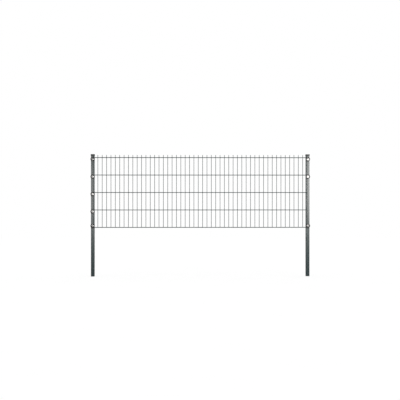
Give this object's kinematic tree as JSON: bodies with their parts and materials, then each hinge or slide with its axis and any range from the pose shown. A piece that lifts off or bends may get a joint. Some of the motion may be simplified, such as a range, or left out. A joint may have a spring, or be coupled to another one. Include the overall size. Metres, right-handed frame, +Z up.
{
  "type": "welded mesh fence panel with posts",
  "caption": "Bay of twin-wire welded mesh fencing: upright wires between paired line wires, held to two capped box posts by round disc clamps.",
  "frame": {"origin": "middle of the left post's foot end", "axes": "+X along the fence from the left post to the right one, +Z up, -Y out of the face that the panel is clamped to"},
  "size_m": [2.518, 0.0944, 1.403],
  "materials": {
    "mesh_wire": "dark grey powder coat over galvanised wire, satin",
    "post": "dark grey powder coat over galvanised box section, satin",
    "post_cap": "moulded, fine matt grain",
    "clamp_disc": "moulded glass-filled polyamide, matt",
    "spacer_sleeve": "moulded, matt",
    "washer": "stamped stainless steel",
    "clamp_screw": "stainless steel, bright",
    "rivet_nut": "zinc-plated steel"
  },
  "bodies": {
    "root": {"mesh_panel": "mesh_wire", "left_post": "post", "right_post": "post", "left_post_cap": "post_cap", "right_post_cap": "post_cap", "left_rivet_nut_1": "rivet_nut", "left_spacer_sleeve_1": "spacer_sleeve", "left_clamp_disc_1": "clamp_disc", "left_washer_1": "washer", "left_clamp_screw_1": "clamp_screw", "left_rivet_nut_2": "rivet_nut", "left_spacer_sleeve_2": "spacer_sleeve", "left_clamp_disc_2": "clamp_disc", "left_washer_2": "washer", "left_clamp_screw_2": "clamp_screw", "left_rivet_nut_3": "rivet_nut", "left_spacer_sleeve_3": "spacer_sleeve", "left_clamp_disc_3": "clamp_disc", "left_washer_3": "washer", "left_clamp_screw_3": "clamp_screw", "left_rivet_nut_4": "rivet_nut", "left_spacer_sleeve_4": "spacer_sleeve", "left_clamp_disc_4": "clamp_disc", "left_washer_4": "washer", "left_clamp_screw_4": "clamp_screw", "left_rivet_nut_5": "rivet_nut", "left_spacer_sleeve_5": "spacer_sleeve", "left_clamp_disc_5": "clamp_disc", "left_washer_5": "washer", "left_clamp_screw_5": "clamp_screw", "right_rivet_nut_1": "rivet_nut", "right_spacer_sleeve_1": "spacer_sleeve", "right_clamp_disc_1": "clamp_disc", "right_washer_1": "washer", "right_clamp_screw_1": "clamp_screw", "right_rivet_nut_2": "rivet_nut", "right_spacer_sleeve_2": "spacer_sleeve", "right_clamp_disc_2": "clamp_disc", "right_washer_2": "washer", "right_clamp_screw_2": "clamp_screw", "right_rivet_nut_5": "rivet_nut", "right_spacer_sleeve_5": "spacer_sleeve", "right_clamp_disc_5": "clamp_disc", "right_washer_5": "washer", "right_clamp_screw_5": "clamp_screw"}
  },
  "joints": []
}
